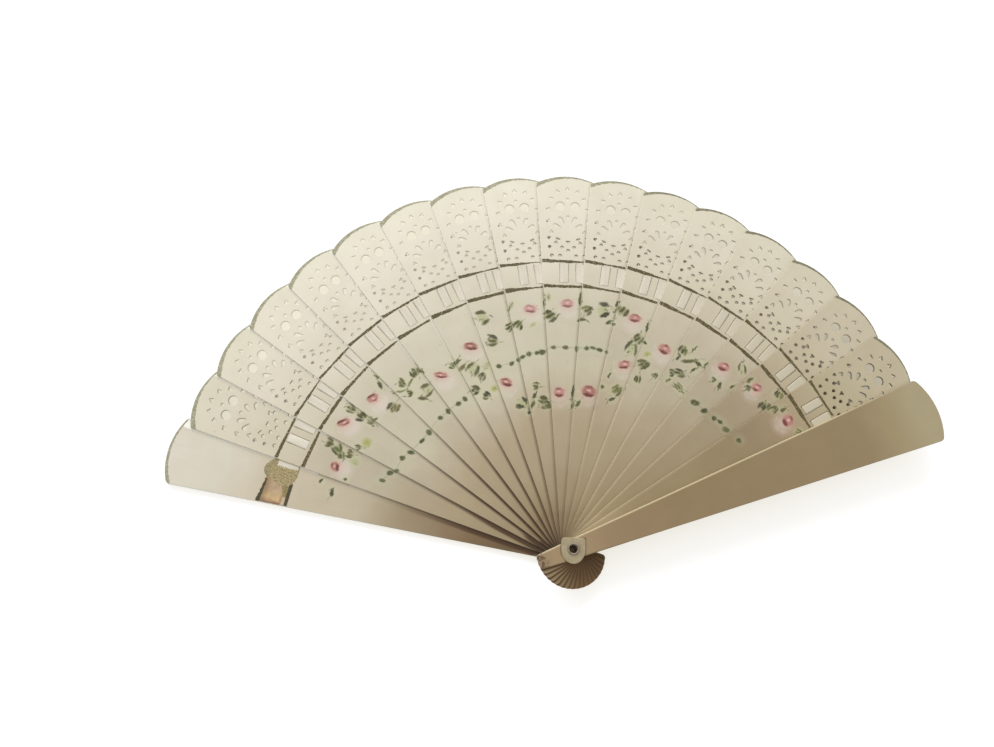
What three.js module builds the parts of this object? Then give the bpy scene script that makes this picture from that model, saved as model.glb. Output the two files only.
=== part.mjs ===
// A pierced celluloid fan, laid open. Millimetres and degrees, +Z up.
// The origin is the flat face of the rivet's rear head, and +Y runs along the middle of the open leaf.
// Each blade is drawn with the rivet at its origin and its own length along +X, then turned into place.
import * as THREE from 'three';

// The spread
const stickCount = 16;
const spreadPitch = 8.5;
const leafMiddle = 90;

// Blades: the width grows evenly from the rivet to the corners of the scallop
const pivotWidth = 9.2;
const tipWidth = 32.4;
const stickReach = 189.3;
const scallopRise = 4.4;
const stickThickness = 0.5;
const guardOverhang = 3;
const guardReach = stickReach + guardOverhang;
const guardTipRise = 4.2;
const guardCornerRadius = 2.4;
const guardThickness = 1.2;

// Heads, the short ends behind the rivet
const headLength = 17.5;
const headEndWidth = 6.8;
const headCornerRadius = 1.8;

// Ribbon, and the slots that it is woven through
const bandFromTip = 49.5;
const bandRadius = stickReach - bandFromTip;
const ribbonWidth = 10;
const ribbonThickness = 0.1;
const ribbonClearance = 0.1 / 3;
const slotSpacing = 4.1;
const slotWidth = 0.8;
const slotEndRoom = 0.25;
const ribbonTuck = 1.6;
const gluedLength = 15;

// Room for two layers of the ribbon between neighbouring blades
const faceGap = 2 * ribbonThickness + 3 * ribbonClearance;

// Rivet, with a solid head behind and a hollow end rolled over in front
const shankDiameter = 4.4;
const shankClearance = 0.06;
const rearHeadDiameter = 7;
const rearHeadThickness = 0.6;
const rolledRimDiameter = 5.6;
const rolledRimThickness = 0.45;
const rivetWall = 0.25;
const rivetBoreDepth = 8;

// Shield-shaped plates under the two ends of the rivet
const plateWidth = 11.2;
const plateAbove = 5.2;
const plateBelow = 6.8;
const plateCornerRadius = 1.6;
const plateThickness = 0.7;
const plateGap = 0.1;
const plateTurn = -5;

// Piercing, laid out on a grid that fills the field between the ribbon band and the scallop
const bandMargin = 6.6;
const fieldRows = 24;
const fieldColumns = 16;
const dotDiameter = 1.4;
const pairDiameter = 4.5;
const petalLength = 3.2;
const petalWidth = 1.6;
const trefoilDiameter = 2.4;
const trefoilCount = 14;

// Facets of the round shapes
const rivetSides = 32;
const rivetHoleSides = 16;
const pairSides = 8;
const tipSteps = 8;
const cornerSteps = 3;

const celluloid = { color: 0xe6dfc9, roughness: 0.42, metalness: 0 };
const guardCelluloid = { color: 0xb5a47c, roughness: 0.38, metalness: 0 };
const plateCelluloid = { color: 0xc9c8a8, roughness: 0.35, metalness: 0 };
const satin = { color: 0xe4dfda, roughness: 0.5, metalness: 0 };
const nickel = { color: 0x9c978c, roughness: 0.35, metalness: 0.9 };

// Heights of the stack, from the rivet's rear head up
const rearPlateBase = rearHeadThickness + plateGap;
const rearGuardBase = rearPlateBase + plateThickness + plateGap;
const firstStickBase = rearGuardBase + guardThickness + faceGap;
const stickPitch = stickThickness + faceGap;
const frontGuardBase = firstStickBase + stickCount * stickPitch;
const frontPlateBase = frontGuardBase + guardThickness + plateGap;
const rolledRimBase = frontPlateBase + plateThickness + plateGap;
const rivetTop = rolledRimBase + rolledRimThickness;

const fan = new THREE.Group();

function material(finish) {
  return new THREE.MeshStandardMaterial(finish);
}

function addPiece(name, geometry, finish, height, turn) {
  const piece = new THREE.Mesh(geometry, material(finish));
  piece.name = name;
  piece.position.z = height;
  piece.rotation.z = THREE.MathUtils.degToRad(turn);
  fan.add(piece);
  return piece;
}

// The turn of a blade's length from +X: the rear guard is blade 0 and the front guard is the last
function bladeTurn(index) {
  return leafMiddle + spreadPitch * ((stickCount + 1) / 2 - index);
}

function halfWidth(along) {
  return (pivotWidth + (tipWidth - pivotWidth) * (along / stickReach)) / 2;
}

// Replaces each corner that has a radius by a short arc
function roundedOutline(corners) {
  const points = [];
  corners.forEach((corner, index) => {
    const here = new THREE.Vector2(corner.x, corner.y);
    if (!corner.radius) {
      points.push(here);
      return;
    }
    const before = corners[(index + corners.length - 1) % corners.length];
    const after = corners[(index + 1) % corners.length];
    const toBefore = new THREE.Vector2(before.x, before.y).sub(here).normalize();
    const toAfter = new THREE.Vector2(after.x, after.y).sub(here).normalize();
    const halfAngle = Math.acos(toBefore.dot(toAfter)) / 2;
    const middle = toBefore.clone().add(toAfter).normalize();
    const centre = here.clone().addScaledVector(middle, corner.radius / Math.sin(halfAngle));
    const reach = corner.radius / Math.tan(halfAngle);
    const start = here.clone().addScaledVector(toBefore, reach).sub(centre);
    const end = here.clone().addScaledVector(toAfter, reach).sub(centre);
    const sweep = Math.atan2(start.cross(end), start.dot(end));
    for (let step = 0; step <= cornerSteps; step += 1) {
      points.push(start.clone().rotateAround(new THREE.Vector2(), (sweep * step) / cornerSteps).add(centre));
    }
  });
  return points;
}

// One blade: straight sides that widen from the head to the tip, and an arc across the tip
function bladeShape(reach, tipRise, tipCornerRadius) {
  const half = halfWidth(reach);
  const tipRadius = (half * half + tipRise * tipRise) / (2 * tipRise);
  const tipCentre = reach + tipRise - tipRadius;
  const tipAngle = Math.asin(half / tipRadius);
  const corners = [
    { x: -headLength, y: headEndWidth / 2, radius: headCornerRadius },
    { x: -headLength, y: -headEndWidth / 2, radius: headCornerRadius },
    { x: 0, y: -pivotWidth / 2 },
  ];
  for (let step = 0; step <= tipSteps; step += 1) {
    const angle = tipAngle * ((2 * step) / tipSteps - 1);
    const atCorner = step === 0 || step === tipSteps;
    corners.push({
      x: tipCentre + tipRadius * Math.cos(angle),
      y: tipRadius * Math.sin(angle),
      radius: atCorner ? tipCornerRadius : 0,
    });
  }
  corners.push({ x: 0, y: pivotWidth / 2 });
  const shape = new THREE.Shape(roundedOutline(corners));
  const holeRadius = (shankDiameter / 2 + shankClearance) / Math.cos(Math.PI / rivetHoleSides);
  shape.holes.push(roundHole(0, 0, holeRadius, rivetHoleSides, 0));
  return shape;
}

function roundHole(x, y, radius, sides, turn) {
  const points = [];
  for (let side = 0; side < sides; side += 1) {
    const angle = turn - (2 * Math.PI * side) / sides;
    points.push(new THREE.Vector2(x + radius * Math.cos(angle), y + radius * Math.sin(angle)));
  }
  return new THREE.Path(points);
}

// A pointed petal whose length points away from the middle of the palmette
function petalHole(x, y, turn) {
  const tip = petalLength / 2;
  const side = petalWidth / 2;
  const points = [[tip, 0], [0, -side], [-tip, 0], [0, side]].map(([along, across]) =>
    new THREE.Vector2(along, across).rotateAround(new THREE.Vector2(), turn).add(new THREE.Vector2(x, y)));
  return new THREE.Path(points);
}

function slotHole(across) {
  const half = ribbonWidth / 2 + slotEndRoom;
  const low = across - slotWidth / 2;
  const high = across + slotWidth / 2;
  return new THREE.Path([
    new THREE.Vector2(bandRadius - half, low),
    new THREE.Vector2(bandRadius - half, high),
    new THREE.Vector2(bandRadius + half, high),
    new THREE.Vector2(bandRadius + half, low),
  ]);
}

// Piercing of one stick: a row and a chevron of dots by the band, and a ring of trefoils
// round a pair of large holes and a palmette of four petals
function piercing() {
  const fieldBase = bandRadius + bandMargin;
  const rowStep = (stickReach + scallopRise - fieldBase) / fieldRows;
  const columnStep = (2 * halfWidth((fieldBase + stickReach) / 2)) / fieldColumns;
  const place = (column, row) => ({ x: fieldBase + row * rowStep, y: column * columnStep });
  const holes = [];
  const dot = (column, row) => {
    const { x, y } = place(column, row);
    holes.push(roundHole(x, y, dotDiameter / 2, 4, 0));
  };
  [-4.4, -2.2, 2.2, 4.4].forEach((column) => dot(column, 1.25));
  [-3, -2, -1, 0, 1, 2, 3].forEach((step) => dot(1.7 * step, 2.75 + 1.15 * Math.abs(step)));
  [-5, 5].forEach((column) => dot(column, 3.7));
  dot(0, 17.2);
  dot(0, 12.3);
  [-2.1, 2.1].forEach((column) => {
    const { x, y } = place(column, 15.3);
    holes.push(roundHole(x, y, pairDiameter / 2, pairSides, Math.PI / pairSides));
  });
  [-1, 1].forEach((side) => {
    const inner = place(1.7 * side, 11.3);
    const outer = place(3.1 * side, 9.6);
    holes.push(petalHole(inner.x, inner.y, side * 0.6));
    holes.push(petalHole(outer.x, outer.y, side * 1.2));
  });
  for (let index = 0; index < trefoilCount; index += 1) {
    const angle = (2 * Math.PI * index) / trefoilCount;
    const { x, y } = place(5.5 * Math.sin(angle), 12.5 + 7.6 * Math.cos(angle));
    holes.push(roundHole(x, y, trefoilDiameter / 2, 3, 0));
  }
  return holes;
}

function slab(shape, thickness) {
  return new THREE.ExtrudeGeometry(shape, { depth: thickness, bevelEnabled: false, curveSegments: 1 });
}

// A strip of ribbon that follows a route of level and upright runs across a blade
function ribbonStrip(route) {
  const half = ribbonThickness / 2;
  const oneSide = [];
  const otherSide = [];
  route.forEach((point, index) => {
    const before = route[Math.max(index - 1, 0)];
    const after = route[Math.min(index + 1, route.length - 1)];
    const arriving = new THREE.Vector2().subVectors(point, before).normalize();
    const leaving = new THREE.Vector2().subVectors(after, point).normalize();
    const offset = new THREE.Vector2(-(arriving.y || 0) - (leaving.y || 0), arriving.x + leaving.x);
    if (index === 0 || index === route.length - 1) offset.normalize();
    oneSide.push(point.clone().addScaledVector(offset, half));
    otherSide.unshift(point.clone().addScaledVector(offset, -half));
  });
  const section = new THREE.Shape([...oneSide, ...otherSide]);
  const strip = slab(section, ribbonWidth);
  const across = new THREE.Vector3(0, 1, 0);
  const up = new THREE.Vector3(0, 0, 1);
  const along = new THREE.Vector3(1, 0, 0);
  strip.applyMatrix4(new THREE.Matrix4().makeBasis(across, up, along));
  strip.translate(bandRadius - ribbonWidth / 2, 0, 0);
  return strip;
}

// Where the left edge of the next blade crosses this one, at the outer edge of the ribbon
function nextBladeEdge() {
  const turn = THREE.MathUtils.degToRad(-spreadPitch);
  const along = bandRadius + ribbonWidth / 2;
  const edge = new THREE.Vector2(along, halfWidth(along)).rotateAround(new THREE.Vector2(), turn);
  return edge.y;
}

const overFace = ribbonClearance + ribbonThickness / 2;
const ribbonTail = Math.min(nextBladeEdge(), -slotSpacing) - ribbonTuck;
const ribbonHead = halfWidth(bandRadius - ribbonWidth / 2);

// Rivet
const shank = shankDiameter / 2;
const bore = shank - rivetWall;
const rivetProfile = [
  [0, 0],
  [rearHeadDiameter / 2, 0],
  [rearHeadDiameter / 2, rearHeadThickness],
  [shank, rearHeadThickness],
  [shank, rolledRimBase],
  [rolledRimDiameter / 2, rolledRimBase],
  [rolledRimDiameter / 2, rolledRimBase + rolledRimThickness / 2],
  [(shank + rolledRimDiameter / 2) / 2, rivetTop],
  [bore, rivetTop],
  [bore, rivetTop - rivetBoreDepth],
  [0, rivetTop - rivetBoreDepth],
].map(([radius, height]) => new THREE.Vector2(radius, height));
const rivetBody = new THREE.LatheGeometry(rivetProfile, rivetSides);
rivetBody.rotateX(Math.PI / 2);
addPiece('rivet', rivetBody, nickel, 0, 0);

// Plates
function plateShape() {
  const half = plateWidth / 2;
  const corners = [
    { x: plateAbove, y: half, radius: plateCornerRadius },
    { x: 0, y: half },
  ];
  const roundSteps = 8;
  for (let step = 1; step < roundSteps; step += 1) {
    const angle = (Math.PI * step) / roundSteps;
    corners.push({ x: -plateBelow * Math.sin(angle), y: half * Math.cos(angle) });
  }
  corners.push({ x: 0, y: -half });
  corners.push({ x: plateAbove, y: -half, radius: plateCornerRadius });
  const shape = new THREE.Shape(roundedOutline(corners));
  const holeRadius = (shankDiameter / 2 + shankClearance) / Math.cos(Math.PI / rivetHoleSides);
  shape.holes.push(roundHole(0, 0, holeRadius, rivetHoleSides, 0));
  return shape;
}
addPiece('rear_plate', slab(plateShape(), plateThickness), plateCelluloid, rearPlateBase, leafMiddle + plateTurn);
addPiece('front_plate', slab(plateShape(), plateThickness), plateCelluloid, frontPlateBase, leafMiddle + plateTurn);

// Guards
const guardShape = bladeShape(guardReach, guardTipRise, guardCornerRadius);
const guardFinish = guardCelluloid;
addPiece('rear_guard', slab(guardShape, guardThickness), guardFinish, rearGuardBase, bladeTurn(0));
addPiece('front_guard', slab(guardShape, guardThickness), guardFinish, frontGuardBase, bladeTurn(stickCount + 1));

// Sticks
const stickShape = bladeShape(stickReach, scallopRise, 0);
[slotSpacing, 0, -slotSpacing].forEach((across) => stickShape.holes.push(slotHole(across)));
stickShape.holes.push(...piercing());

// The ribbon on a stick: along the face, down, behind a bar, up, over a bar, down, and out behind the stick
const aboveStick = stickThickness + overFace;
const wovenRoute = [
  [ribbonTail, aboveStick],
  [-slotSpacing, aboveStick],
  [-slotSpacing, -overFace],
  [0, -overFace],
  [0, aboveStick],
  [slotSpacing, aboveStick],
  [slotSpacing, -overFace],
  [ribbonHead, -overFace],
].map(([across, height]) => new THREE.Vector2(across, height));

for (let index = 1; index <= stickCount; index += 1) {
  const number = String(index).padStart(2, '0');
  const height = firstStickBase + (index - 1) * stickPitch;
  addPiece(`stick_${number}`, slab(stickShape, stickThickness), celluloid, height, bladeTurn(index));
  addPiece(`ribbon_${number}`, ribbonStrip(wovenRoute), satin, height, bladeTurn(index));
}

// The two ends of the ribbon, glued to the inner faces of the guards
const rearEnd = [
  new THREE.Vector2(ribbonTail, guardThickness + overFace),
  new THREE.Vector2(ribbonHead, guardThickness + overFace),
];
const frontEnd = [
  new THREE.Vector2(ribbonHead - gluedLength, -overFace),
  new THREE.Vector2(ribbonHead, -overFace),
];
addPiece('ribbon_end_rear', ribbonStrip(rearEnd), satin, rearGuardBase, bladeTurn(0));
addPiece('ribbon_end_front', ribbonStrip(frontEnd), satin, frontGuardBase, bladeTurn(stickCount + 1));

export default fan;
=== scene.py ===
"""A folding fan of pierced and painted celluloid, laid open on a white table"""
import math
import random

import bmesh
import bpy
from mathutils import Color, Matrix, Vector, noise


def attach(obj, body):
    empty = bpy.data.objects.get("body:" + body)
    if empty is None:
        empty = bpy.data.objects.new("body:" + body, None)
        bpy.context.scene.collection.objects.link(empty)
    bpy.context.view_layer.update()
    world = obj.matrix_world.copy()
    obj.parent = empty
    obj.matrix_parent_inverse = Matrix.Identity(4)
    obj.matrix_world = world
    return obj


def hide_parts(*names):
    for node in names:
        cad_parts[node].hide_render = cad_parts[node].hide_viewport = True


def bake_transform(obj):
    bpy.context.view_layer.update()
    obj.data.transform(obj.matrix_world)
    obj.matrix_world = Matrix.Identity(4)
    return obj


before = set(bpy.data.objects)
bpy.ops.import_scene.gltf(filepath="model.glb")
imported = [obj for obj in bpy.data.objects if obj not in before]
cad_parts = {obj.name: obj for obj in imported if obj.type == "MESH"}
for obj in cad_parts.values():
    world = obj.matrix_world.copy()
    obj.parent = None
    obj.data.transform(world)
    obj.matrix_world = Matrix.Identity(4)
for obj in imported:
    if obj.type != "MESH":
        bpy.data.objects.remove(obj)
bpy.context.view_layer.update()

scene = bpy.context.scene
mm = 0.001


# Rivet
# A tubular rivet of thin nickel-plated brass runs through the heads of all the blades.
# Its solid head is flat and lies behind; the hollow end is curled over in front.
def srgb(red, green, blue):
    """A colour in screen values, 0 to 255, as a linear colour"""
    return (*Color((red / 255, green / 255, blue / 255)).from_srgb_to_scene_linear(), 1)


def shades(*stops):
    """The stops of a ramp, each as its place and a colour in screen values"""
    return [(place, srgb(*colour)) for place, *colour in stops]


def add(tree, kind, inputs=None, **settings):
    """Adds a shader node; each input is a plain value or another node's socket"""
    made = tree.nodes.new("ShaderNode" + kind)
    for setting, value in settings.items():
        setattr(made, setting, value)
    for socket, value in (inputs or {}).items():
        if isinstance(value, bpy.types.NodeSocket):
            tree.links.new(value, made.inputs[socket])
        else:
            made.inputs[socket].default_value = value
    return made


def tree_of(*values):
    """The node tree of the first socket among the values"""
    return next(value.id_data for value in values if isinstance(value, bpy.types.NodeSocket))


def ramp(factor, stops):
    """A colour that changes along a factor, through (place, colour) stops"""
    made = add(factor.id_data, "ValToRGB", {"Fac": factor})
    band = made.color_ramp.elements
    while len(band) < len(stops):
        band.new(1)
    for stop, (place, colour) in zip(band, stops):
        stop.position = place
        stop.color = colour
    return made.outputs["Color"]


def sums(operation, first, second=0.0, third=0.0, clamp=False):
    """Arithmetic on numbers that vary over a surface"""
    tree = tree_of(first, second, third)
    made = add(tree, "Math", {0: first, 1: second, 2: third}, operation=operation, use_clamp=clamp)
    return made.outputs[0]


def times(first, *others):
    """The product of all of them"""
    for other in others:
        first = sums("MULTIPLY", first, other)
    return first


def scaled(value, factor, start):
    """A number times a factor, added to its start"""
    return sums("MULTIPLY_ADD", value, factor, start)


def plus(first, second):
    return sums("ADD", first, second)


def minus(first, second):
    return sums("SUBTRACT", first, second)


def larger(first, second):
    return sums("MAXIMUM", first, second)


def unsigned(value):
    return sums("ABSOLUTE", value)


def mapped(value, low, high, start, end):
    """A number carried evenly from the range low to high onto start to end"""
    limits = {"Value": value, "From Min": low, "From Max": high, "To Min": start, "To Max": end}
    return add(value.id_data, "MapRange", limits).outputs["Result"]


def step(value, none, full):
    """0 up to one number and 1 from the other on, with a soft change between"""
    limits = {"Value": value, "From Min": none, "From Max": full}
    return add(value.id_data, "MapRange", limits, interpolation_type="SMOOTHSTEP").outputs["Result"]


def grain(where, size, detail=3.0):
    """Noise with features of about this size, in the units of the place"""
    return add(where.id_data, "TexNoise", {"Vector": where, "Scale": 1 / size, "Detail": detail}).outputs[0]


def axes(vector):
    """The parts of a place or a direction, as X, Y and Z"""
    return add(vector.id_data, "SeparateXYZ", {0: vector}).outputs


def vectors(operation, first, second=None, out=0):
    """Arithmetic on places or directions"""
    inputs = {0: first} if second is None else {0: first, 1: second}
    return add(first.id_data, "VectorMath", inputs, operation=operation).outputs[out]


def blend(amount, first, second, mode="MIX"):
    """The first colour turned into the second by an amount"""
    inputs = {0: amount, 6: first, 7: second}
    return add(tree_of(amount, first, second), "Mix", inputs, data_type="RGBA", blend_type=mode).outputs[2]


def new_material(name):
    """An empty material, with its tree, its shader and its object coordinates"""
    material = bpy.data.materials.new(name)
    material.use_nodes = True
    tree = material.node_tree
    return material, tree, tree.nodes["Principled BSDF"], add(tree, "TexCoord").outputs["Object"]


def feed(shader, name, value):
    shader.id_data.links.new(value, shader.inputs[name])


def relief(shader, height, depth):
    """Bumps of this depth in metres"""
    bump = add(shader.id_data, "Bump", {"Height": height, "Distance": depth, "Strength": 1.0})
    feed(shader, "Normal", bump.outputs["Normal"])


def put_in_scene(name, made):
    """An object of a mesh, a lamp or a lens"""
    item = bpy.data.objects.new(name, made)
    scene.collection.objects.link(item)
    return item


def covered(name, shape, material):
    """An object of this shape, in metres, and this material"""
    mesh = bpy.data.meshes.new(name)
    shape.to_mesh(mesh)
    shape.free()
    mesh.materials.append(material)
    return put_in_scene(name, mesh)


def finish_piece(name, shape, slot, material, body=None, replaces=()):
    """Makes the piece of its shape with its finish and what it moves with"""
    piece = covered(name, shape, material)
    if body:
        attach(piece, body)
    if replaces:
        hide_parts(*replaces)
    return piece


nickel, _, shader, place = new_material("worn nickel plate")
smear = grain(place, 0.0012, 4)
nickel_colour = ramp(smear, shades((0.35, 140, 125, 106), (0.7, 168, 156, 140)))
feed(shader, "Base Color", nickel_colour)
feed(shader, "Roughness", scaled(smear, 0.3, 0.45))
shader.inputs["Metallic"].default_value = 0.45
relief(shader, grain(place, 0.0003, 3), 0.00001)

shape = bmesh.new()
rivet_profile = [
    (0, 0), (3.2, 0), (3.5, 0.2), (3.5, 0.45), (3.3, 0.6), (2.2, 0.6), (2.2, 17.9), (2.6, 17.9),
    (2.77, 17.97), (2.8, 18.1), (2.7, 18.26), (2.5, 18.34), (2.32, 18.34), (2.12, 18.25), (1.99, 18.06),
    (1.95, 17.8), (1.95, 10.8), (1.6, 10.4), (0, 10.35),
]
corners = [shape.verts.new((radius * mm, 0, height * mm)) for radius, height in rivet_profile]
for lower, upper in zip(corners, corners[1:]):
    shape.edges.new((lower, upper))
bmesh.ops.spin(shape, geom=shape.verts[:] + shape.edges[:], axis=(0, 0, 1), cent=(0, 0, 0), steps=56,
               angle=2 * math.pi, use_merge=True)
bmesh.ops.remove_doubles(shape, verts=shape.verts, dist=1e-6)
bmesh.ops.recalc_face_normals(shape, faces=shape.faces)
for face in shape.faces:
    face.smooth = True
finish_piece("rivet_curled_over", shape, "nickel", nickel, "rear_guard", ["rivet"])


# Plates
# Two small shields of tan celluloid, one under each end of the rivet, spread its pull over the soft blades.
# They are cut from sheet with one flat end and one round end, and their edges are polished round.
def rounded(corners, steps=6):
    """The outline through (x, y, radius) corners in millimetres, with each corner rounded to its radius"""
    line = []
    for index, (x, y, radius) in enumerate(corners):
        here = Vector((x, y))
        if not radius:
            line.append(here)
            continue
        back = (Vector(corners[index - 1][:2]) - here).normalized()
        onward = (Vector(corners[(index + 1) % len(corners)][:2]) - here).normalized()
        half = back.angle(onward) / 2
        centre = here + (back + onward).normalized() * radius / math.sin(half)
        start = here + back * radius / math.tan(half) - centre
        end = here + onward * radius / math.tan(half) - centre
        sweep = math.atan2(start.x * end.y - start.y * end.x, start.dot(end))
        for turn in range(steps + 1):
            line.append(centre + Matrix.Rotation(sweep * turn / steps, 2) @ start)
    return line


def round_hole(along, across, diameter, points):
    """A punched hole in millimetres, run the other way round from an outline"""
    middle, rim = Vector((along, across)), Vector((diameter / 2, 0))
    return [middle + Matrix.Rotation(-2 * math.pi * turn / points, 2) @ rim for turn in range(points)]


def cut_from_sheet(outline, holes, thickness, height, turn, soft_edge=0.06, yellowed_and_shaded=0.0):
    """A flat piece cut from sheet, in millimetres, then laid at its height and turned to its place.

    Each point keeps where it was on the sheet, in metres along and across, and how far the sheet is tinted
    tan, by age and by painted shade.
    """
    flat = bpy.data.curves.new("cut", "CURVE")
    flat.dimensions = "2D"
    flat.fill_mode = "BOTH"
    flat.extrude = thickness / 2 - soft_edge
    flat.bevel_depth = soft_edge
    flat.bevel_resolution = 1
    flat.offset = -soft_edge
    for loop in [outline, *holes]:
        line = flat.splines.new("POLY")
        line.points.add(len(loop) - 1)
        for point, (x, y) in zip(line.points, loop):
            point.co = (x, y, 0, 1)
        line.use_cyclic_u = True
    holder = bpy.data.objects.new("cut", flat)
    mesh = bpy.data.meshes.new_from_object(holder)
    shape = bmesh.new()
    shape.from_mesh(mesh)
    bpy.data.objects.remove(holder)
    bpy.data.curves.remove(flat)
    bpy.data.meshes.remove(mesh)
    bmesh.ops.remove_doubles(shape, verts=shape.verts, dist=0.001)
    bmesh.ops.recalc_face_normals(shape, faces=shape.faces)
    on_sheet = shape.verts.layers.float_vector.new("on_sheet")
    for vert in shape.verts:
        vert[on_sheet] = (vert.co.x * mm, vert.co.y * mm, yellowed_and_shaded)
    for face in shape.faces:
        face.smooth = abs(face.normal.z) < 0.98
    place = Matrix.Translation((0, 0, (height + thickness / 2) * mm))
    place @= Matrix.Rotation(math.radians(turn), 4, "Z") @ Matrix.Scale(mm, 4)
    bmesh.ops.transform(shape, matrix=place, verts=shape.verts)
    return shape


pale_plate, tree, shader, place = new_material("tan plate celluloid")
cloud = grain(place, 0.004, 3)
plate_colour = ramp(cloud, shades((0.3, 150, 135, 104), (0.7, 172, 159, 128)))
edge = step(axes(add(tree, "TexCoord").outputs["Normal"])["Z"], 0.98, 0.8)
plate_colour = blend(times(edge, 0.7), plate_colour, srgb(202, 188, 150))
feed(shader, "Base Color", plate_colour)
feed(shader, "Roughness", scaled(cloud, 0.2, 0.3))
relief(shader, grain(place, 0.0008, 4), 0.000015)

shield = rounded(
    [(5.2, 5.6, 1.6)]
    + [(-6.8 * math.sin(math.pi * turn / 24), 5.6 * math.cos(math.pi * turn / 24), 0) for turn in range(25)]
    + [(5.2, -5.6, 1.6)]
)
rivet_hole = round_hole(0, 0, 4.52, 32)
for name, height in (("rear_plate", 0.7), ("front_plate", 17.1)):
    shape = cut_from_sheet(shield, [rivet_hole], 0.7, height, 85, 0.15)
    finish_piece(name + "_polished", shape, "plate_celluloid", pale_plate, name, [name])


# Rear guard
# The thick plain blade at the back of the fan, cut from cream celluloid sheet and polished.
# Towards the rivet it is tan, yellowed where hands hold it and painted with the shade of the blades stacked
# above it, and its tip is edged with gold paint.
head_width, widening, stick_reach, blade_pitch = 9.2, 23.2, 189.3, 8.5
side_slope, half_head = 0.0613, 0.0046  # the same widening for the finish, in metres
next_slope = 0.0874  # of the next blade's edge, which crosses each blade


def left_edge(along):
    """How far across a blade its left edge lies, in millimetres, at a distance along it"""
    return (head_width + widening * along / stick_reach) / 2


def blade_outline(reach, tip_rise, tip_corner):
    """Straight sides that widen from the head behind the rivet to the tip, and an arc across the tip"""
    half = left_edge(reach)
    tip_radius = (half * half + tip_rise * tip_rise) / (2 * tip_rise)
    tip_angle = math.asin(half / tip_radius)
    corners = [(-17.5, 3.4, 1.8), (-17.5, -3.4, 1.8), (0, -4.6, 0)]
    for turn in range(29):
        if tip_corner and turn in (1, 27):
            continue
        angle = tip_angle * (turn / 14 - 1)
        x = reach + tip_rise - tip_radius + tip_radius * math.cos(angle)
        corners.append((x, tip_radius * math.sin(angle), tip_corner if turn in (0, 28) else 0))
    corners.append((0, 4.6, 0))
    return rounded(corners)


def blade_turn(blade):
    """Degrees from +X of a blade's length: the rear guard is 0, the sticks 1 to 16, the front guard 17"""
    return 90 + blade_pitch * (8.5 - blade)


def on_blade(blade, along, across, height):
    """A point of the open fan in metres, from its place on a blade in millimetres"""
    return Matrix.Rotation(math.radians(blade_turn(blade)), 3, "Z") @ Vector((along, across, height)) * mm


def from_left(parts):
    """How far in from a blade's left edge, in metres"""
    return minus(scaled(parts["X"], side_slope, half_head), parts["Y"])


def past_next(parts):
    """How far out from under the edge of the blade on top, in metres"""
    return plus(scaled(parts["X"], next_slope, -half_head), parts["Y"])


def round_rivet(place):
    """The direction from the rivet, in radians from +X"""
    where = axes(place)
    return sums("ARCTAN2", where["Y"], where["X"])


def swept(turn, none, full):
    """A step between two directions in degrees"""
    return step(turn, math.radians(none), math.radians(full))


def level(vector):
    """A place or a direction without its height"""
    return vectors("MULTIPLY", vector, (1, 1, 0))


def stain(colour, tint, strength, *limits):
    """Tints a colour within all limits: each is a step as (measure, none, full), or an amount"""
    amounts = [step(*limit) if isinstance(limit, tuple) else limit for limit in limits]
    return blend(times(*amounts, strength), colour, srgb(*tint))


def aged_celluloid(place, on_sheet, stops, yellowed_and_shaded_stops=None):
    """Colour and relief of old cream celluloid: browner towards the rivet, clouded, and faintly streaked"""
    distance = vectors("LENGTH", level(place), out="Value")
    wander = scaled(grain(place, 0.03, 3), 0.03, -0.015)
    reached = sums("DIVIDE", plus(distance, wander), 0.2)
    colour = ramp(reached, stops)
    if yellowed_and_shaded_stops:
        colour = blend(axes(on_sheet)["Z"], colour, ramp(reached, yellowed_and_shaded_stops))
    cloud = ramp(grain(place, 0.012, 5), [(0.3, (0.95, 0.945, 0.93, 1)), (0.7, (1, 1, 1, 1))])
    colour = blend(1.0, colour, cloud, "MULTIPLY")
    streak = grain(vectors("MULTIPLY", on_sheet, (30, 2400, 1)), 1, 2)
    streaks = ramp(streak, [(0.3, (0.97, 0.965, 0.95, 1)), (0.7, (1, 1, 1, 1))])
    colour = blend(1.0, colour, streaks, "MULTIPLY")
    colour = stain(colour, (128, 100, 70), 0.3, (grain(place, 0.0022, 1), 0.78, 0.82))
    return colour, scaled(streak, 0.4, grain(place, 0.0015, 3))


def gold_paint(place, mask, tip, colour, shader):
    """Old gold paint over a colour, where the mask is 1: worn in places, and rubbed grey along the tip"""
    cover = times(mask, step(grain(place, 0.0006, 4), 0.22, 0.45))
    flecks = ramp(grain(place, 0.0004, 3), shades((0.35, 64, 56, 28), (0.65, 112, 101, 64)))
    rubbed = ramp(grain(place, 0.0008, 3), shades((0.35, 146, 142, 114), (0.65, 182, 178, 152)))
    rubbed = stain(rubbed, (104, 98, 70), 0.6, (axes(place)["X"], 0.0, 0.1))
    feed(shader, "Metallic", times(cover, 0.35))
    return blend(cover, colour, blend(tip, flecks, rubbed))


def tip_edging(place, on_sheet, reach, tip_rise, widest, narrowest):
    """1 within a strip along the arc of the tip that is wider at the left corner"""
    half, rise = left_edge(reach) * mm, tip_rise * mm
    radius = (half * half + rise * rise) / (2 * rise)
    from_centre = vectors("SUBTRACT", on_sheet, (reach * mm + rise - radius, 0, 0))
    inside = minus(radius, vectors("LENGTH", level(from_centre), out="Value"))
    parts = axes(on_sheet)
    width = mapped(parts["Y"], -half, half, narrowest * mm, widest * mm)
    width = times(width, scaled(step(axes(place)["X"], -0.05, 0.1), -0.3, 1.0))
    brush = scaled(grain(place, 0.0015, 4), 0.0012, -0.0006)
    edge = minus(plus(width, brush), inside)
    return times(step(edge, -0.0001, 0.0002), step(parts["X"], 0.17, 0.172))


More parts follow.
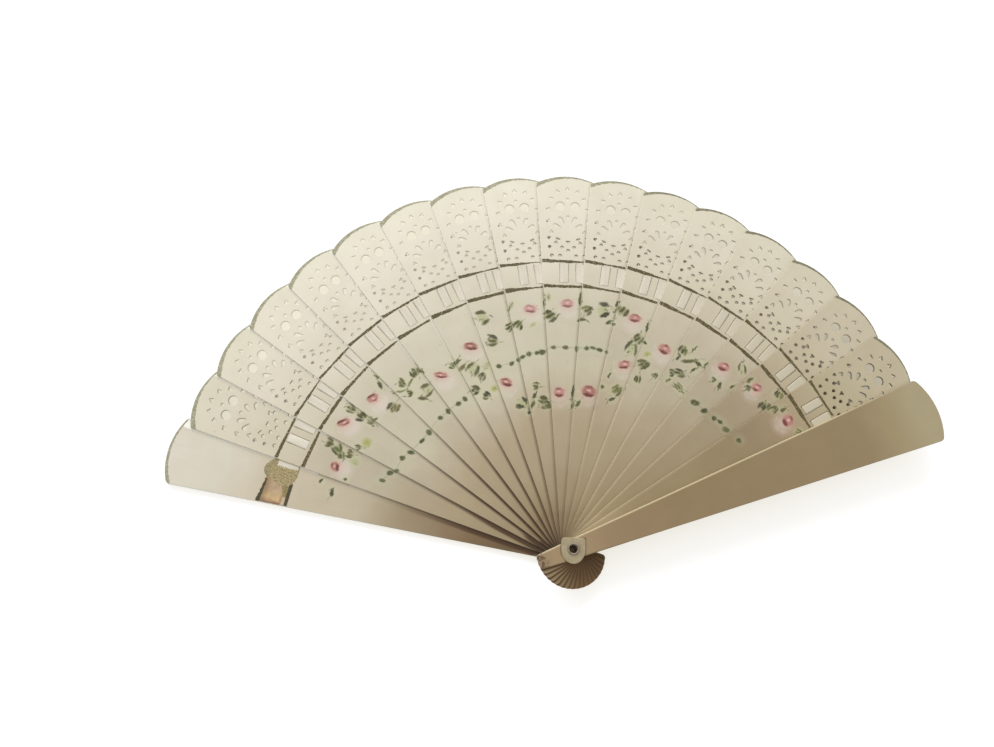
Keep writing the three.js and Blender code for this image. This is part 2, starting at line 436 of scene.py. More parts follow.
def gold_bands(place, parts, bands, mask):
    """Adds lines of (distance, thickness) across the blade to a mask, lifted in places at their ends"""
    for middle, thickness in bands:
        brush = scaled(grain(place, 0.0012, 4), 0.0009, -0.00045)
        off = unsigned(minus(plus(parts["X"], brush), middle * mm))
        laden = scaled(grain(place, 0.009, 2), 0.0012, (thickness / 2 - 0.6) * mm)
        half = scaled(parts["Y"], 0.022, laden)
        lifted = scaled(grain(place, 0.007, 1), -0.003, 0.0014)
        line = times(step(minus(half, off), -0.0001, 0.00015),
                     step(minus(past_next(parts), lifted), 0.0002, 0.0008),
                     step(from_left(parts), 0.0001, 0.0005))
        mask = larger(mask, line)
    return mask


def beside_next(place, parts, colour):
    """Dust and shade beside the edge of the blade on top: brown by the rivet, softer further out"""
    gap, turn, along = past_next(parts), round_rivet(place), parts["X"]
    more_on_guard = scaled(swept(turn, 153, 160), -0.0012, gap)
    colour = stain(
        colour, (70, 42, 8), 0.92, (more_on_guard, 0.0018, 0.0005), (along, 0.098, 0.038),
        (axes(place)["X"], 0.01, -0.016), scaled(step(turn, 1.7, 2.5), 0.4, 0.6), (along, 0.0, 0.004))
    return stain(
        colour, (124, 104, 72), 0.36, (gap, 0.0018, 0.0002), (along, 0.05, 0.075), (along, 0.205, 0.14),
        swept(turn, 55, 84), swept(turn, 116, 101))


def cut_walls(tree, place):
    """The direction in which each point faces, and how far that is away from the rivet"""
    cut = add(tree, "TexCoord").outputs["Normal"]
    return cut, vectors("DOT_PRODUCT", cut, vectors("NORMALIZE", level(place)), out="Value")


def blade_dust_and_painted_light(tree, place, parts, colour):
    """Dust and painted shade on the heads; painted light along edges and through the long cut edges"""
    along, rightward = parts["X"], axes(place)["X"]
    # Dust and painted shade brown the heads, except for a lit strip away from the head on top, mostly at
    # the left
    bared = minus(scaled(along, -0.2203, -0.0047), parts["Y"])
    lit_head_strip = times(step(bared, 0.0005, 0.0013), scaled(step(rightward, -0.012, 0.006), -0.75, 1.0))
    head_dust_and_shade = times(step(along, -0.0015, -0.005), scaled(lit_head_strip, -0.8, 0.92))
    colour = blend(head_dust_and_shade, colour, srgb(104, 68, 8))
    # Painted light beside the edge of the blade on top, on the outer left blades, to lighten its shadow
    colour = stain(colour, (255, 253, 242), 0.9, (past_next(parts), 0.001, 0.0001), (along, 0.09, 0.13),
                   (rightward, 0.0, -0.05))
    # A painted highlight along the lit left edge of the right-hand blades near the rivet
    colour = stain(colour, (236, 220, 182), 0.15, (from_left(parts), 0.0015, 0.0004), (along, 0.13, 0.06),
                   (rightward, 0.0, 0.014))
    colour = beside_next(place, parts, colour)
    cut, turned_out = cut_walls(tree, place)
    # The long cut edges are painted lighter, as light let through the celluloid, more at the left
    more_at_left = scaled(step(rightward, 0.06, -0.02), 0.65, 0.15)
    return stain(colour, (250, 244, 228), more_at_left, (unsigned(axes(cut)["Z"]), 0.85, 0.3),
                 (unsigned(turned_out), 0.4, 0.15), (along, 0.02, 0.15))


def rim_dust_and_shade(tree, place, parts, colour):
    """Dust and painted shade on the far walls of the piercing and their rims, thickest by the ribbon and at
    both ends
    """
    turned_out = cut_walls(tree, place)[1]
    rim = add(tree, "Bevel", {"Radius": 0.0009}, samples=8).outputs["Normal"]
    rim = add(tree, "VectorTransform", {0: rim}, vector_type="NORMAL", convert_from="WORLD",
              convert_to="OBJECT").outputs[0]
    rim_turned = vectors("DOT_PRODUCT", rim, vectors("NORMALIZE", level(place)), out="Value")
    far = times(larger(step(turned_out, -0.08, -0.3), step(rim_turned, -0.03, -0.12)),
                step(parts["X"], 0.1465, 0.147))
    # Dust and painted shade, darker towards the right
    dust_and_shade = blend(step(axes(place)["X"], -0.12, 0.1), srgb(124, 112, 82), srgb(80, 64, 30))
    turn = round_rivet(place)
    ends = larger(swept(turn, 36, 27), swept(turn, 142, 154))
    sides = larger(swept(turn, 104, 88), swept(turn, 128, 150))
    outer = scaled(ends, 0.4, scaled(swept(turn, 69, 58), 0.26, 0.29))
    by_ribbon = scaled(sides, 0.45, 0.45)
    amount = scaled(step(parts["X"], 0.1615, 0.1585), minus(by_ribbon, outer), outer)
    return blend(times(far, amount), colour, dust_and_shade)


def polish(place):
    """How rough the surface is from place to place, where hands have rubbed it"""
    return scaled(grain(place, 0.006, 4), 0.22, 0.3)


def celluloid(name, stops, reach, tip_rise, widest, narrowest, bands=(), yellowed_and_shaded_stops=None, wear_and_painted_light=blade_dust_and_painted_light):
    """Aged and worn celluloid with painted light and shade, gold along the tip, widest to narrowest in
    millimetres, and in bands
    """
    material, tree, shader, place = new_material(name)
    on_sheet = add(tree, "Attribute", attribute_name="on_sheet").outputs["Vector"]
    colour, height = aged_celluloid(place, on_sheet, stops, yellowed_and_shaded_stops)
    parts = axes(on_sheet)
    colour = rim_dust_and_shade(tree, place, parts, wear_and_painted_light(tree, place, parts, colour))
    mask = tip_edging(place, on_sheet, reach, tip_rise, widest, narrowest)
    mask = gold_bands(place, parts, bands, mask)
    facing = axes(add(tree, "NewGeometry").outputs["Normal"])["Z"]
    mask = times(mask, step(facing, -0.6, -0.2))
    feed(shader, "Base Color", gold_paint(place, mask, step(parts["X"], 0.165, 0.17), colour, shader))
    feed(shader, "Roughness", polish(place))
    relief(shader, height, 0.000012)
    return material


# Tan towards the rivet, with the painted shade of the stacked blades darkest about 30 mm out
rear_guard_tone_and_shade = shades((0.05, 130, 106, 74), (0.15, 108, 85, 55), (0.225, 124, 100, 69),
                          (0.3, 138, 115, 86), (0.375, 156, 138, 109), (0.45, 178, 164, 136),
                          (0.525, 195, 182, 157), (0.75, 209, 197, 174), (0.85, 219, 213, 195),
                          (0.95, 223, 216, 200))
rear_guard_celluloid = celluloid("cream guard celluloid", rear_guard_tone_and_shade, 192.3, 4.2, 1.8, 1.0)
guard_outline = blade_outline(192.22, 4.2, 2.4)
shape = cut_from_sheet(guard_outline, [rivet_hole], 1.2, 1.5, blade_turn(0), 0.15)
finish_piece("rear_guard_polished", shape, "guard_celluloid", rear_guard_celluloid, "rear_guard",
             ["rear_guard"])


# Sticks
# Sixteen thin blades, stamped from half-millimetre cream celluloid and pierced above the ribbon.
# A row and a chevron of dots, then a ring of trefoils round two large holes and a palmette of four petals.
rear_guard_face, stick_thickness, face_to_face = 2.7, 0.5, 0.8  # millimetres


def stick_face(stick):
    """Height in millimetres of the upper face of a stick, or of the rear guard as 0"""
    return rear_guard_face + face_to_face * stick


def turned(degrees):
    """A turn to the left in the plane of a sheet"""
    return Matrix.Rotation(math.radians(degrees), 2)


def petal_hole(along, across, length, width, turn):
    """A tear-shaped hole whose point lies along the turn, in millimetres and degrees"""
    points = []
    for corner in range(12):
        angle = -2 * math.pi * corner / 12
        point = Vector((length / 2 * math.cos(angle),
                        width / 2 * math.sin(angle) * math.sin(angle / 2) ** 2 * 1.3))
        points.append(Vector((along, across)) + turned(turn) @ point)
    return points


def trefoil_hole(along, across, outward):
    """A hole of three joined lobes, in millimetres, one of them pointing outward"""
    points = []
    for corner in range(18):
        lobe = Matrix.Rotation(-2 * math.pi * corner / 18, 2) @ outward
        reach = 0.72 + 0.34 * math.cos(3 * 2 * math.pi * corner / 18)
        points.append(Vector((along, across)) + lobe * reach)
    return points


def slot(across):
    """One of the three slots that the ribbon runs through"""
    left, right = across + 0.4, across - 0.4
    return [Vector(corner) for corner in ((134.55, right), (134.55, left), (145.05, left), (145.05, right))]


piercing = [rivet_hole, slot(4.1), slot(0), slot(-4.1)]
for across in (-8.3, -4.1, 4.1, 8.3):
    piercing.append(round_hole(149.0, across, 1.4, 12))
for along, across in ((151.9, 0), (153.6, 3.1), (156, 6.2), (158.7, 9.7), (153.7, 9.4)):
    for side in {across, -across}:
        piercing.append(round_hole(along, side, 1.35, 12))
for along in (170.7, 180.5):
    piercing.append(round_hole(along, 0, 1.2, 12))
for side in (-1, 1):
    piercing.append(round_hole(176.7, 3.9 * side, 4.4, 24))
    piercing.append(petal_hole(168.8, 3.2 * side, 3.9, 2.0, 180 + 38 * side))
    piercing.append(petal_hole(165.6, 5.6 * side, 3.6, 1.9, 180 + 72 * side))
for index in range(14):
    angle = 2 * math.pi * index / 14
    outward = Vector((math.cos(angle), math.sin(angle)))
    along = 171.3 + 14.9 * outward.x
    across = 10.3 * math.copysign(abs(outward.y) ** 0.8, outward.y)
    piercing.append(trefoil_hole(along, across, outward))

stick_stops = shades((0.1, 140, 120, 88), (0.15, 158, 140, 107), (0.225, 172, 155, 125),
                     (0.3, 180, 164, 134), (0.375, 192, 178, 153), (0.45, 206, 198, 173),
                     (0.6, 212, 204, 182), (0.75, 230, 222, 202), (0.85, 237, 230, 212),
                     (0.95, 240, 235, 215))
# Tan colours, and below how far each blade takes them, most at the right: partly yellowing, partly painted
# shade
yellowed_and_shaded_stops = shades((0.1, 170, 150, 114), (0.15, 158, 139, 103), (0.225, 151, 132, 97),
                        (0.3, 154, 135, 101), (0.45, 150, 131, 97), (0.525, 152, 132, 102),
                        (0.6, 164, 143, 112), (0.75, 184, 172, 140), (0.85, 192, 179, 151),
                        (0.95, 192, 181, 153))
yellowing_and_shade = [0, 0.35, 0.2, 0.1, 0.05, 0, 0, 0, 0, 0.05, 0.15, 0.25, 0.3, 0.4, 0.55, 0.8, 1]
cream_celluloid = celluloid("cream stick celluloid", stick_stops, 189.3, 4.4, 2.5, 0.6,
                            [(146.1, 1.2), (132.6, 1.45)], yellowed_and_shaded_stops)
stick_outline = blade_outline(189.22, 4.4, 0)
for stick in range(1, 17):
    name = f"stick_{stick:02d}"
    shape = cut_from_sheet(stick_outline, piercing, stick_thickness, stick_face(stick) - stick_thickness,
                           blade_turn(stick), 0.2, yellowing_and_shade[stick])
    finish_piece(name + "_pierced", shape, "celluloid", cream_celluloid, name, [name])


# Ribbon
# One strip of white silk satin, 10 mm wide, holds the sticks at an even spread.
# In each stick it comes up at the right slot, goes behind the next bar, over the one beyond and down again.
ribbon_width, ribbon_middle, off_face = 10, 139.8, 0.085  # millimetres, the middle from the rivet


def woven_stations(stick):
    """Where the ribbon goes on one stick, as (blade, across, height) in millimetres, from left to right"""
    over, under = stick_face(stick) + off_face, stick_face(stick) - stick_thickness - off_face
    stations = [(stick, 4.6, under)]
    for middle, comes_up in ((4.1, True), (0, False), (-4.1, True)):
        for part in range(7):
            rise = part / 6
            rise = rise * rise * (3 - 2 * rise)
            start, end = (under, over) if comes_up else (over, under)
            stations.append((stick, middle + 0.34 - 0.68 * part / 6, start + (end - start) * rise))
        if middle == 4.1:
            stations += [(stick, across, over + 0.03 * lift) for across, lift in ((3, 1), (2, 1.4), (1, 1))]
        elif middle == 0:
            stations += [(stick, across, under) for across in (-1, -2, -3)]
    return stations + [(stick, -4.6, over)]


satin, tree, shader, place = new_material("white silk satin")
ribbon_uv = add(tree, "Attribute", attribute_name="on_ribbon").outputs["Vector"]
thread = grain(vectors("MULTIPLY", ribbon_uv, (900, 6500, 1)), 1, 2)
fold = grain(vectors("MULTIPLY", ribbon_uv, (260, 60, 1)), 1, 3)
sheen_colour = ramp(plus(times(thread, 0.4), times(fold, 0.6)),
                    shades((0.3, 202, 193, 174), (0.5, 223, 214, 196), (0.7, 236, 229, 212)))
at_right = step(axes(place)["X"], 0.02, 0.13)
feed(shader, "Base Color", blend(at_right, sheen_colour, srgb(196, 186, 162)))
feed(shader, "Roughness", scaled(fold, 0.2, 0.3))
shader.inputs["Sheen Weight"].default_value = 0.3
relief(shader, scaled(thread, 0.25, fold), 0.00006)


def thicken(piece, name, thickness, side):
    """Gives a thin coat or cloth its thickness in millimetres: evenly at side 0, downward at -1"""
    body = piece.modifiers.new(name, "SOLIDIFY")
    body.thickness = thickness * mm
    body.offset = side


def lay_ribbon(name, stations, replaces):
    """A length of the ribbon through its stations, between the blades that it joins"""
    rows = 6
    shape = bmesh.new()
    on_ribbon = shape.verts.layers.float_vector.new("on_ribbon")
    strip = bmesh.ops.create_grid(shape, x_segments=len(stations) - 1, y_segments=rows, size=0.5)["verts"]
    path = [0.0]
    for (blade, across, height), (next_blade, next_across, next_height) in zip(stations, stations[1:]):
        run = (next_blade - blade) * math.radians(blade_pitch) * ribbon_middle - (next_across - across)
        path.append(path[-1] + math.hypot(run, next_height - height))
    for vert in strip:
        station = round((vert.co.x + 0.5) * (len(stations) - 1))
        outward = vert.co.y * ribbon_width
        blade, across, height = stations[station]
        vert[on_ribbon] = (path[station] * mm, outward * mm, 0)
        vert.co = on_blade(blade, ribbon_middle + outward, across, height)
    bmesh.ops.recalc_face_normals(shape, faces=shape.faces)
    if shape.faces[0].normal.z < 0:
        bmesh.ops.reverse_faces(shape, faces=shape.faces)
    piece = finish_piece(name, shape, "satin_ribbon", satin, replaces=replaces)
    thicken(piece, "thickness", 0.1, 0)
    return piece


on_rear_guard = [(0, 12.6 - 2.4 * part, stick_face(0) + off_face) for part in range(8)]
under_front_guard = [(17, -1.5, stick_face(16) + 0.3 - off_face)]
blade_names = ["rear_guard", *(f"stick_{stick:02d}" for stick in range(1, 17)), "front_guard"]
for stick in range(17):
    here = woven_stations(stick)[-10:] if stick else on_rear_guard
    there = woven_stations(stick + 1)[:-9] if stick < 16 else under_front_guard
    end = there[0]
    bridge = [tuple(first + (last - first) * part / 8 for first, last in zip(here[-1], end))
              for part in range(1, 8)]
    nodes = [f"ribbon_{stick:02d}" if stick else "ribbon_end_rear"]
    if stick == 16:
        nodes.append("ribbon_end_front")
    piece = lay_ribbon(f"ribbon_run_{stick:02d}", here + bridge + there, nodes)
    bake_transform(piece)


# Glued ribbon end
# The ribbon starts on the rear guard, under celluloid cement that has browned, redder at the guard's edge.
# Beside the first stick the cement is crusted with gold, which also edges the patch in two dark lines.
cement, tree, shader, place = new_material("browned cement and gold crust")
laid = add(tree, "Attribute", attribute_name="paint")
crumbs = grain(place, 0.0007, 3)
crust = ramp(crumbs, [(0.36, (0.62, 0.6, 0.55, 1)), (0.5, (1, 1, 1, 1)), (0.66, (1.45, 1.42, 1.4, 1))])
glow = ramp(grain(place, 0.003, 3), [(0.3, (0.88, 0.85, 0.8, 1)), (0.7, (1.08, 1.08, 1.05, 1))])
plain = blend(1.0, laid.outputs["Color"], glow, "MULTIPLY")
crusted = blend(1.0, laid.outputs["Color"], crust, "MULTIPLY")
feed(shader, "Base Color", blend(laid.outputs["Alpha"], plain, crusted))
feed(shader, "Metallic", times(laid.outputs["Alpha"], 0.2))
feed(shader, "Roughness", scaled(crumbs, 0.3, 0.25))
relief(shader, times(crumbs, laid.outputs["Alpha"]), 0.00008)


def share(value):
    """A number kept between 0 and 1"""
    return min(max(value, 0), 1)


def cement_colour(along, across):
    """Colour of the patch at a place on the rear guard in millimetres, and how far it is crusted there"""
    wander = 0.6 * noise.noise((along * 0.6, across * 0.6, 5))
    crust_end = min(max(1.2 + 0.45 * (147 - along), 1.2), 3.4)
    if across > 1.6 + 0.75 * (along - 135) and along < 136.6:
        return Vector(srgb(74, 68, 42)), 0.35
    if across > 2 + wander and along > 147.3 + 0.06 * (across - 2):
        return Vector(srgb(74, 68, 42)), 0.35
    if across < crust_end + wander:
        return Vector(srgb(152, 142, 104) if along > 147.2 + wander else srgb(164, 149, 108)), 1.0
    if across < 8.6 and along < 139.6 - 0.28 * (across - 3.4) + wander:
        return Vector(srgb(146, 130, 84)), 0.8
    if across > 8.5 and along < 138 + 0.5 * wander:
        return Vector(srgb(200, 176, 152)), 0.0
    warm = share((across - 6) / 4) * share((147.2 - along) / 3)
    low = Vector(srgb(158, 132, 98)).lerp(Vector(srgb(184, 158, 130)), share((146.5 - along) / 3))
    red = share((across - 10.9 - wander) / 1.8)
    red = max(red, 0.7 * share((139.6 - along) / 1.4) * share((across - 7.5) / 2))
    return low.lerp(Vector(srgb(204, 176, 130)), warm).lerp(Vector(srgb(146, 106, 86)), red), 0.0


shape = bmesh.new()
paint = shape.verts.layers.float_color.new("paint")
bmesh.ops.create_grid(shape, x_segments=68, y_segments=80, size=0.5)
bare = []
for vert in shape.verts:
    along, across = 142.2 + 17.2 * vert.co.x, 2.6 + 22.8 * vert.co.y
    rough = noise.noise((along * 0.7, across * 0.7, 0)) * 0.4
    under_stick = across - 3.6 + next_slope * (along - 0.68)
    if across < 1.6:
        rim = min(along - 133.9 - 0.25 * max(across + 2.4, 0),
                  150.4 - 0.13 * (across + 2.8) ** 2 - along) + rough
        height = 0.145 + 0.012 * noise.noise((along * 2.2, across * 2.2, 1))
    else:
        rim = min(along - 134.65, 148.4 + 0.15 * (across - 2) - along + rough,
                  left_edge(along) - 0.25 - across)
        height = 0.145 + 0.01 * noise.noise((along * 0.6, across * 0.6, 2))
    if rim < 0 or under_stick < 0:
        bare.append(vert)
    colour, crusted = cement_colour(along, across)
    vert[paint] = (*colour[:3], crusted)
    vert.co = on_blade(0, along, across, stick_face(0) + height)
bmesh.ops.delete(shape, geom=bare, context="VERTS")
for face in shape.faces:
    face.smooth = True
piece = finish_piece("ribbon_cement", shape, "guard_celluloid", cement, "rear_guard")
thicken(piece, "body of the cement", 0.1, -1)


# Front guard
# The thick plain blade on top of the fan, like the rear guard but browner all along, from age and from
# painted shade.
# Its head end is scuffed dark where the fan was tapped shut.
def guard_wear_and_painted_light(tree, place, parts, colour):
    """A painted highlight along the left edge, painted shadow beside the plate, a darker right edge, and
    scuffs at the head
    """
    along, where = parts["X"], axes(place)
    # A painted highlight along the lit left edge, full for 130 mm and gone by 200 mm
    colour = stain(colour, (214, 198, 158), 0.82, (from_left(parts), 0.001, 0.0004), (along, 0.2, 0.13))
    # Painted shadow beside the plate
    beside_plate = unsigned(scaled(where["Y"], -0.0872, times(where["X"], 0.9962)))
    colour = stain(colour, (92, 70, 36), 0.7, (beside_plate, 0.0063, 0.0058), (where["Y"], -0.004, 0.0),
                   (where["Y"], 0.0054, 0.0046))
    # Darker along the right edge, out to about 50 mm from the rivet
    from_right = scaled(along, side_slope, plus(parts["Y"], half_head))
    colour = stain(colour, (104, 96, 66), 0.6, (from_right, 0.0007, 0.0002), (along, 0.05, 0.01))
    return stain(colour, (84, 56, 36), 0.85, (grain(place, 0.0016, 2), 0.42, 0.6),
                 (along, -0.0115, -0.0155))


front_guard_stops = shades((0.0, 168, 143, 108), (0.1, 150, 126, 94), (0.3, 144, 122, 87),
                           (0.75, 148, 128, 95), (0.85, 160, 144, 108), (0.95, 170, 157, 124))
front_guard_celluloid = celluloid("tan guard celluloid", front_guard_stops, 192.3, 4.2, 0.5, 0.3,
                                  wear_and_painted_light=guard_wear_and_painted_light)
shape = cut_from_sheet(guard_outline, [rivet_hole], 1.2, 15.8, blade_turn(17), 0.15)
finish_piece("front_guard_polished", shape, "guard_celluloid", front_guard_celluloid, "front_guard",
             ["front_guard"])


# Painted garlands
# Roses, leaves and dotted festoons, brushed by hand in body colour on the open fan once it was strung.
# So a mark that crosses from one stick to the next breaks at the edge between them.
def painted(name, stops, yellowed_and_shaded_stops=None):
    """Aged celluloid under body colour, as thick as the brush left it"""
    material, tree, shader, place = new_material(name)
    on_sheet = add(tree, "Attribute", attribute_name="on_sheet").outputs["Vector"]
    bare, height = aged_celluloid(place, on_sheet, stops, yellowed_and_shaded_stops)
    bare = beside_next(place, axes(on_sheet), bare)
    brushed = add(tree, "Attribute", attribute_name="paint")
    bristle = scaled(grain(place, 0.0006, 4), 0.9, 0.62)
    cover = sums("MULTIPLY", brushed.outputs["Alpha"], bristle, clamp=True)
    feed(shader, "Base Color", blend(cover, bare, brushed.outputs["Color"]))
    feed(shader, "Roughness", scaled(cover, 0.15, polish(place)))
    relief(shader, scaled(cover, 0.3, height), 0.000012)
    return material


painted_stick = painted("painted stick celluloid", stick_stops, yellowed_and_shaded_stops)
painted_guard = painted("painted guard celluloid", rear_guard_tone_and_shade)
strokes = []
hand = random.Random(8)
noise.seed_set(8)
radian = 57.3  # in degrees


def astray(most):
    """Up to this much to either side"""
    return hand.uniform(-most, most)


def brush(turn, distance, length, width, lean, colour, cover=0.9, bend=0.0, soft=0.4, point=0.0):
    """One mark in millimetres, at a turn clockwise from the fan's middle, leaning clockwise from outward.

    Soft is how far in from its rim the paint covers fully, and point how much it narrows towards its end.
    """
    middle, way = turned(-turn) @ Vector((0, distance)), turned(-turn) @ (turned(-lean) @ Vector((0, 1)))
    strokes.append((middle, way, length / 2, width / 2, colour, cover, bend, soft, point))


def rose(turn, distance, length, width, lean, shaded):
    """A cabbage rose: a haze of petals towards the rivet, a pink cup, its deep lip and its light heart"""
    side = math.radians(lean - 90)
    lip_turn = width * 0.24 * math.sin(side) * shaded * radian / distance
    lip_rise = -width * 0.24 * math.cos(side) * shaded
    faded = abs(turn) < 6 and distance > 110
    cup = Vector(srgb(158, 102, 88)).lerp(Vector(srgb(184, 130, 120)), hand.random())
    cup = Vector(srgb(194, 146, 140)) if faded else cup
    haze = 0.5 if turn < -25 else 0.3 if distance > 100 else 0.14
    brush(turn, distance - 4.5, 15, 13, 90, srgb(222, 208, 200), haze, soft=1)
    for spread, drop, size in ((-3.4, 4.2, 5), (3.1, 4.8, 5.4), (0.2, 6.4, 5.6), (-4.6, 0.5, 4)):
        petal_turn = turn + spread * radian / distance
        brush(petal_turn, distance - drop, size, 2.4, 90 - 16 * spread, srgb(232, 220, 214), 0.14, -0.3, 1)
    brush(turn, distance - 1.2, length + 5.4, width + 5.4, lean, srgb(214, 172, 158), 0.6, soft=1)
    length, width = 1.14 * length, 0.94 * width
    brush(turn, distance, length + 0.8, width + 0.8, lean, cup, 0.92, soft=0.5)
    for petal in range(4):
        aside = astray(0.55) * length
        brush(turn + aside * radian / distance, distance + hand.uniform(-0.6, 0.5) * width,
              hand.uniform(1.4, 2.6), hand.uniform(0.7, 1.3), lean + astray(50), srgb(190, 132, 120), 0.5,
              astray(0.3), 0.8)
    brush(turn + lip_turn, distance + lip_rise, length * 0.95, width * 0.46, lean, srgb(98, 36, 28),
          0.7 if faded else 0.9, -0.22 * shaded, 0.6)
    brush(turn - lip_turn, distance - lip_rise, length * 0.75, width * 0.34, lean, srgb(124, 56, 46),
          0.4 if faded else 0.7, 0.25 * shaded, 0.7)
    brush(turn - lip_turn * 0.2, distance - lip_rise * 0.2, length * 0.4, width * 0.34, lean,
          srgb(232, 198, 188), 0.7, soft=0.8)


roses = [
    (-66.7, 119.0, 4.6, 4.6, 68, 1), (-56.8, 124.6, 6.2, 4.0, 123, -1), (-48.5, 120.1, 5.8, 4.2, 105, -1),
    (-32.3, 105.8, 6.9, 3.8, 128, 1), (-21.7, 111.4, 6.9, 4.2, 114, 1), (-16.5, 87.7, 5.9, 5.1, 119, 1),
    (-4.9, 122.0, 6.5, 4.2, 97, 1), (0.4, 77.5, 5.4, 5.1, 92, 1), (3.9, 123.8, 6.6, 4.3, 88, 1),
    (11.2, 78.7, 7.4, 6.1, 92, 1), (20.2, 121.2, 6.5, 4.0, 85, 1), (20.8, 96.0, 6.0, 4.6, 72, 1),
    (29.6, 111.3, 6.4, 5.3, 89, 1), (44.1, 119.7, 5.9, 4.8, 75, 1), (52.9, 123.2, 5.4, 4.8, 71, 1),
    (63.0, 125.0, 5.6, 6.3, 94, 1),
]
for bloom in roses:
    rose(*bloom)

greens = {
    "sage": srgb(112, 112, 58), "moss": srgb(74, 72, 22), "dark": srgb(44, 40, 8),
    "olive": srgb(106, 90, 38), "lime": srgb(152, 154, 54), "leaf": srgb(74, 88, 20),
    "pale": srgb(164, 167, 116), "fawn": srgb(142, 126, 78), "russet": srgb(120, 68, 46),
    "ring": srgb(80, 78, 26), "light": srgb(206, 205, 160),
}
wash = srgb(194, 198, 154)


def dab(turn, distance, lean, ahead, aside, length, width, tilt, colour, cover, bend=0.0, soft=0.6):
    """A mark beside another: moved along and across its lean in millimetres, and tilted from it"""
    slant = math.radians(lean)
    sideways = ahead * math.sin(slant) + aside * math.cos(slant)
    outward = ahead * math.cos(slant) - aside * math.sin(slant)
    brush(turn + sideways * radian / distance, distance + outward, length, width, lean + tilt, colour,
          cover, bend, soft)


def leaf(turn, distance, length, width, lean, shade):
    """A leaf over its own wash: a soft body, dabs of dark and light across it, and a twig at one end"""
    brush(turn, distance, length + 5.5, width + 5.5, lean, wash, 0.36, soft=1)
    length, width = 1.1 * length, 1.1 * width
    if shade in ("pale", "fawn", "lime"):
        brush(turn, distance, length + 0.8, width + 0.8, lean, greens[shade], 0.7, 0.1, 0.9)
        for mark in range(2):
            dab(turn, distance, lean, astray(0.4) * length, astray(0.3) * width, length * 0.4, 0.8,
                astray(40), greens["sage"], 0.4, soft=0.9)
        return
    if width < 2.4:
        brush(turn, distance, length + 0.5, width + 0.3, lean, greens[shade], 0.85, astray(0.15), 0.45, 0.3)
    else:
        inside = "pale" if shade == "ring" else "sage"
        brush(turn, distance, length + 0.4, width + 0.4, lean, greens[inside], 0.5, soft=0.6)
        for side in (-1, 1) if shade == "ring" else (-1, 0, 1):
            dab(turn, distance, lean, astray(0.12) * length, (0.33 * side + astray(0.06)) * width,
                hand.uniform(0.8, 1.1) * length, hand.uniform(0.4, 0.54) * width, -14 * side + astray(9),
                greens[hand.choice((shade, "moss", "moss", "dark"))], hand.uniform(0.75, 0.95),
                -0.16 * side, 0.5)
        dab(turn, distance, lean, astray(0.2) * length, astray(0.2) * width,
            hand.uniform(0.3, 0.5) * length, hand.uniform(0.6, 0.9), astray(30), greens["light"], 0.5)
    for mark in range(1 + round(length * width / 10)):
        dab(turn, distance, lean, astray(0.6) * length, astray(0.6) * width, hand.uniform(1.2, 2.8),
            hand.uniform(0.6, 1.0), astray(60), greens[hand.choice(("dark", "moss"))],
            hand.uniform(0.5, 0.85), astray(0.2))
    if length > 3.4:
        end = hand.choice((-1, 1))
        dab(turn, distance, lean, end * (length / 2 + 0.9), astray(1), hand.uniform(2.6, 4.4), 0.6,
            astray(50), greens[hand.choice(("dark", "moss", "sage"))], 0.7, astray(0.25))


